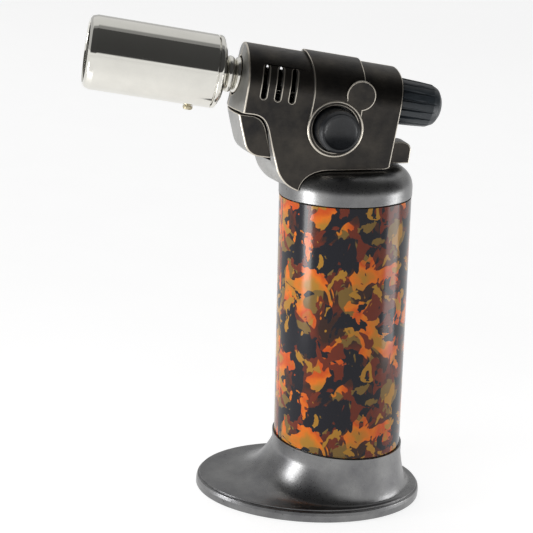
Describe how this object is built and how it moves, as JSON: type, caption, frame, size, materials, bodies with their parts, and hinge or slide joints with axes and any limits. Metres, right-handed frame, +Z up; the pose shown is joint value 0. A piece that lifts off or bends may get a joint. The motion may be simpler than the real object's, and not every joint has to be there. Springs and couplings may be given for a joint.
{
  "type": "table gas torch",
  "caption": "Refillable table-top gas torch with a leaning printed tank on a wide oval foot, a chrome burner tube, side ignition button, front trigger and rear gas knob.",
  "frame": {"origin": "centre of the flat underside of the foot, on the surface the torch stands on", "axes": "+Z up, -X the way the burner points, -Y the side with the ignition button"},
  "size_m": [0.1197, 0.054, 0.1491],
  "materials": {
    "cast_nickel": "satin nickel plate on a zinc casting, darker where it is worn",
    "gunmetal": "dark brushed gunmetal plate on a zinc casting, edges polished bright",
    "chrome": "mirror-polished chrome plate",
    "printed_film": "glossy printed film in orange, rust, olive and navy patches",
    "black_plastic": "satin moulded black",
    "knob_plastic": "satin moulded blue-black",
    "rubber": "matt black",
    "brass": "turned brass",
    "steel": "plain steel",
    "tank_alloy": "drawn aluminium",
    "resin": "natural acetal",
    "lead_sleeve": "black cable sheath",
    "ceramic": "unglazed white ceramic"
  },
  "bodies": {
    "housing": {"foot": "cast_nickel", "foot_pad": "rubber", "fuel_tank": "tank_alloy", "tank_lid": "resin", "lid_seal": "rubber", "printed_sleeve": "printed_film", "collar": "cast_nickel", "fill_valve_body": "brass", "fill_valve_spring": "steel", "fill_valve_seal": "rubber", "outlet_valve_body": "brass", "outlet_spring": "steel", "pickup_tube": "resin", "head_shell_left": "gunmetal", "head_shell_right": "gunmetal", "head_screw_1": "steel", "head_screw_2": "steel", "head_screw_3": "steel", "trigger_spring": "steel", "igniter_body": "resin", "button_spring": "steel", "ignition_lead": "lead_sleeve", "needle_valve_body": "brass", "spindle_seal": "rubber", "gas_pipe": "brass", "gas_jet": "brass", "mixer_tube": "chrome", "burner_cap": "chrome", "burner_tube": "chrome", "flame_holder": "steel", "tube_screw": "brass", "electrode_insulator": "ceramic", "electrode": "steel"},
    "button": {"ignition_button": "black_plastic", "igniter_plunger": "black_plastic"},
    "trigger_body": {"trigger": "gunmetal"},
    "outlet_plunger": {"outlet_stem": "brass"},
    "filler_plunger": {"fill_valve_stem": "brass"},
    "knob": {"flow_knob": "knob_plastic", "valve_spindle": "brass"},
    "lock": {"lock_slide": "gunmetal"}
  },
  "joints": [
    {"name": "button_press", "type": "slide", "parent": "housing", "child": "button", "axis": [0, 1, 0], "range_m": [0, 0.0045], "stiffness_N_per_m": 1000, "springref_m": -0.003, "deforming": ["button_spring"]},
    {"name": "trigger_pull", "type": "slide", "parent": "housing", "child": "trigger_body", "axis": [0.9965, 0, -0.0837], "range_m": [0, 0.003], "stiffness_N_per_m": 600, "springref_m": -0.003, "deforming": ["trigger_spring"]},
    {"name": "outlet_stem_press", "type": "slide", "parent": "housing", "child": "outlet_plunger", "axis": [0.0785, 0, -0.9969], "range_m": [0, 0.001], "stiffness_N_per_m": 400, "springref_m": -0.002, "deforming": ["outlet_spring"]},
    {"name": "filler_press", "type": "slide", "parent": "housing", "child": "filler_plunger", "axis": [-0.0785, 0, 0.9969], "range_m": [0, 0.0012], "stiffness_N_per_m": 500, "springref_m": -0.002, "deforming": ["fill_valve_spring"]},
    {"name": "knob_turn", "type": "hinge", "parent": "housing", "child": "knob", "pos_m": [0.02097, 0, 0.12975], "axis": [0.9965, 0, -0.0837], "range_deg": [0, 270]},
    {"name": "lock_push", "type": "slide", "parent": "housing", "child": "lock", "axis": [-0.9969, 0, -0.0785], "range_m": [0, 0.0025]}
  ],
  "couplings": [
    {"joint": "outlet_stem_press", "follows": "trigger_pull", "ratio": 0.33}
  ]
}
